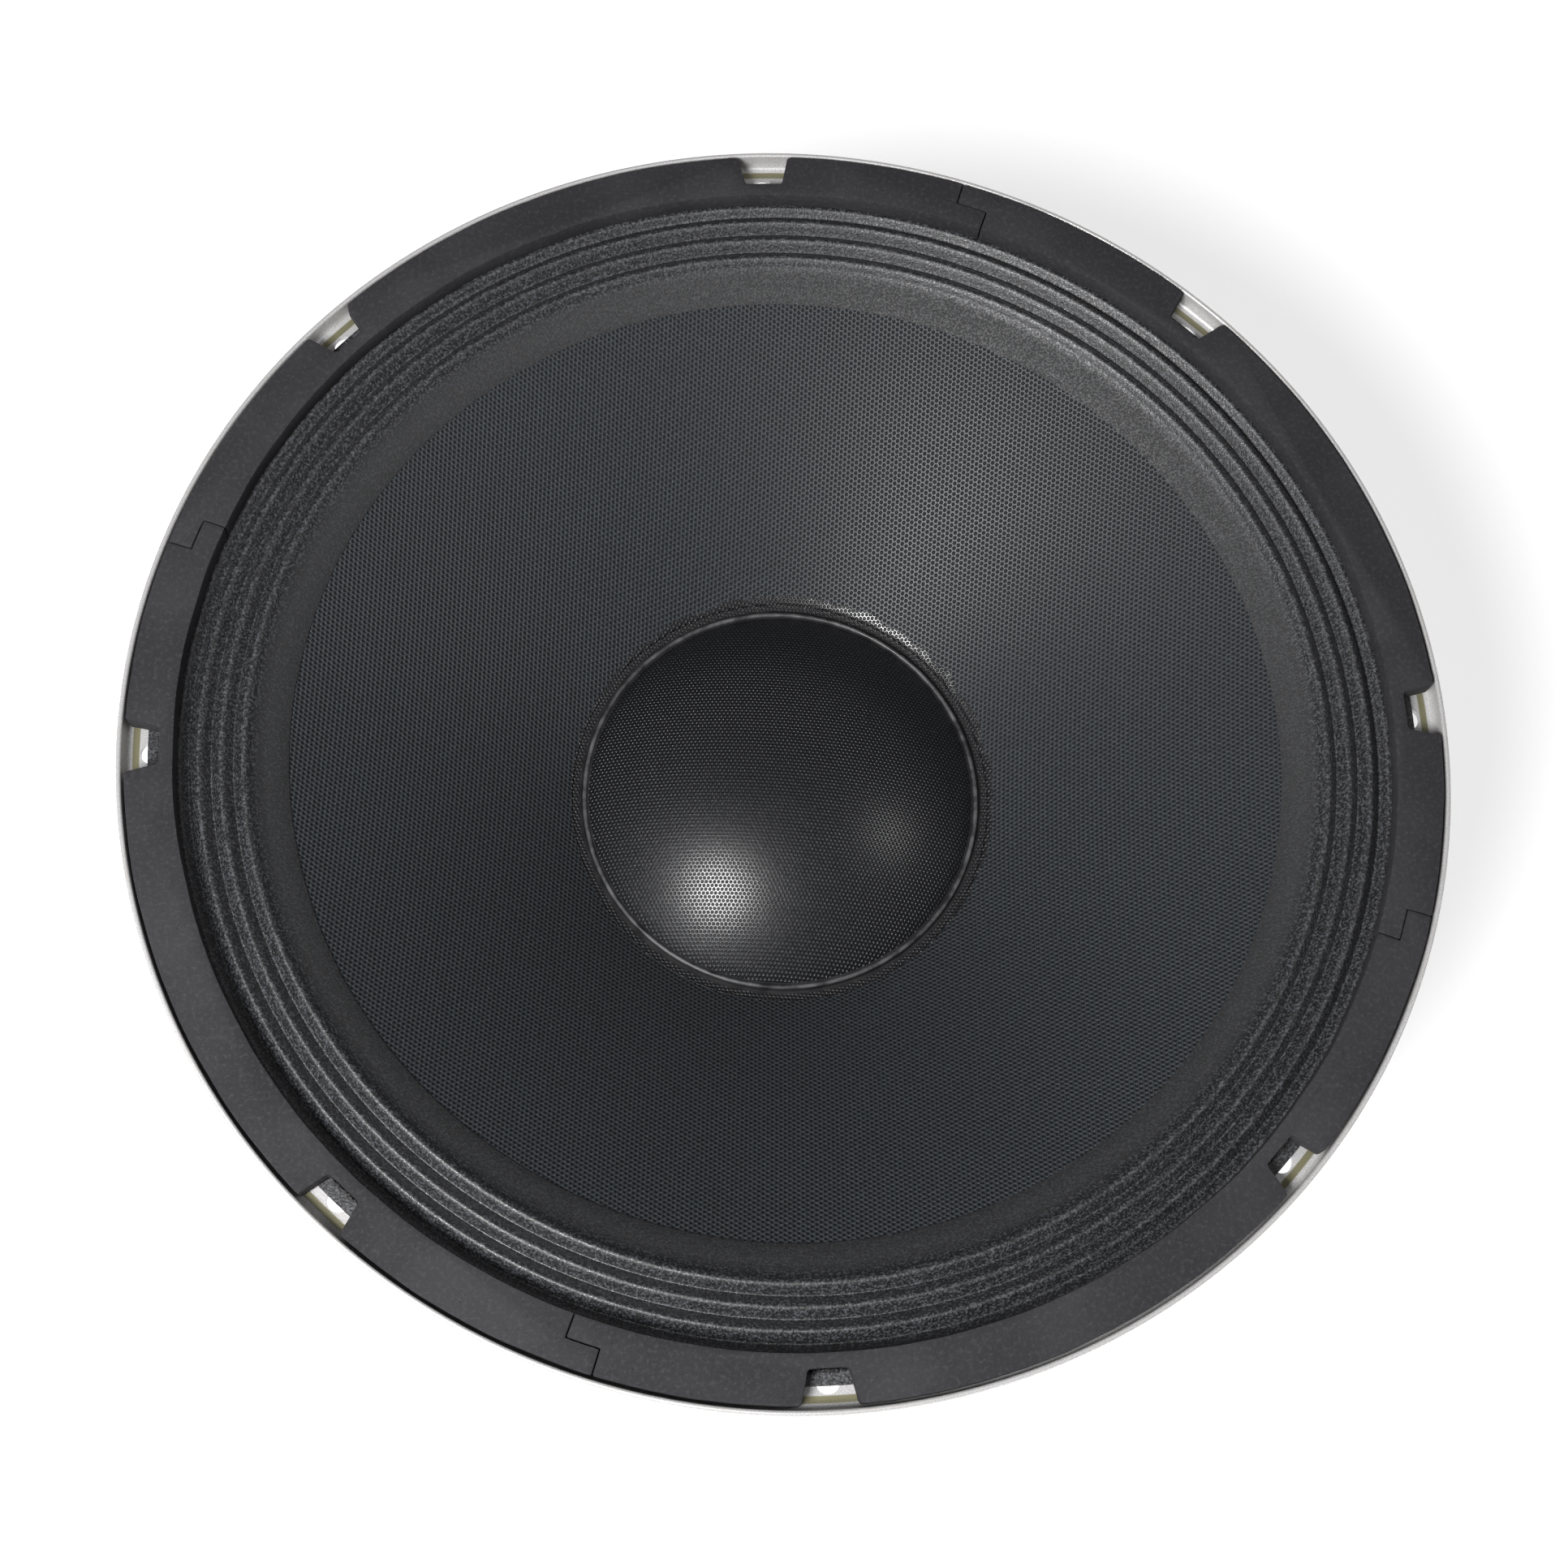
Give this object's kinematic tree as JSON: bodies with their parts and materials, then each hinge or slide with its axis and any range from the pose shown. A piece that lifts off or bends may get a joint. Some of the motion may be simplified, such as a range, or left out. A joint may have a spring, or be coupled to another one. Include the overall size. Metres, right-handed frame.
{
  "type": "loudspeaker driver",
  "caption": "Round woofer driver with a pressed-steel basket, cloth triple-roll edge, patterned cone, dust cap, ferrite motor and push terminals.",
  "frame": {"origin": "centre of the back plate's rear face, which the driver stands on", "axes": "+Z along the cone's axis, out of the front; +Y towards the terminals; a bolt hole on each of +X, +Y, -X and -Y"},
  "size_m": [0.3886, 0.3886, 0.148],
  "materials": {
    "basket": "light grey silver paint, satin",
    "gasket_fibre": "dense black fibre board, matte",
    "surround": "treated black cloth, speckled sheen",
    "spider": "varnished amber cloth",
    "motor_steel": "turned steel, pale zinc plating",
    "magnet": "dark grey hard ferrite, ground faces",
    "vent_screen": "fine black mesh",
    "screws": "bright zinc plated",
    "terminal_plastic": "black moulded plastic",
    "lugs": "tinned brass",
    "springs": "spring wire",
    "leads": "braided copper tinsel",
    "cone": "pressed black paper with a raised hexagonal pattern",
    "dust_cap": "coated black paper with a fine raised pattern",
    "coil_former": "amber film",
    "coil_collar": "dark kraft paper",
    "coil_winding": "enamelled copper wire",
    "terminal_button_red": "red moulded plastic",
    "terminal_button_black": "black moulded plastic"
  },
  "bodies": {
    "root": {"basket": "basket", "gasket_segment_1": "gasket_fibre", "gasket_segment_2": "gasket_fibre", "gasket_segment_3": "gasket_fibre", "gasket_segment_4": "gasket_fibre", "surround": "surround", "spider": "spider", "top_plate": "motor_steel", "magnet": "magnet", "t_yoke": "motor_steel", "vent_screen": "vent_screen", "basket_screw_1": "screws", "basket_screw_2": "screws", "basket_screw_3": "screws", "basket_screw_4": "screws", "basket_screw_5": "screws", "basket_screw_6": "screws", "terminal_housing": "terminal_plastic", "terminal_faceplate": "terminal_plastic", "terminal_lug_red": "lugs", "terminal_lug_black": "lugs", "terminal_screw_1": "screws", "terminal_screw_2": "screws", "button_spring_red": "springs", "button_spring_black": "springs", "tinsel_lead_red": "leads", "tinsel_lead_black": "leads"},
    "cone_assembly": {"cone": "cone", "dust_cap": "dust_cap", "coil_former": "coil_former", "coil_collar": "coil_collar", "coil_winding": "coil_winding"},
    "button_red": {"terminal_button_red": "terminal_button_red"},
    "button_black": {"terminal_button_black": "terminal_button_black"}
  },
  "joints": [
    {"name": "cone_travel", "type": "slide", "parent": "root", "child": "cone_assembly", "axis": [0, 0, 1], "range_m": [-0.008, 0.008], "stiffness_N_per_m": 6000, "deforming": ["surround", "spider", "tinsel_lead_red", "tinsel_lead_black"]},
    {"name": "button_red_press", "type": "slide", "parent": "root", "child": "button_red", "axis": [0, 0, 1], "range_m": [0, 0.003], "stiffness_N_per_m": 600, "springref_m": -0.002, "deforming": ["button_spring_red"]},
    {"name": "button_black_press", "type": "slide", "parent": "root", "child": "button_black", "axis": [0, 0, 1], "range_m": [0, 0.003], "stiffness_N_per_m": 600, "springref_m": -0.002, "deforming": ["button_spring_black"]}
  ]
}
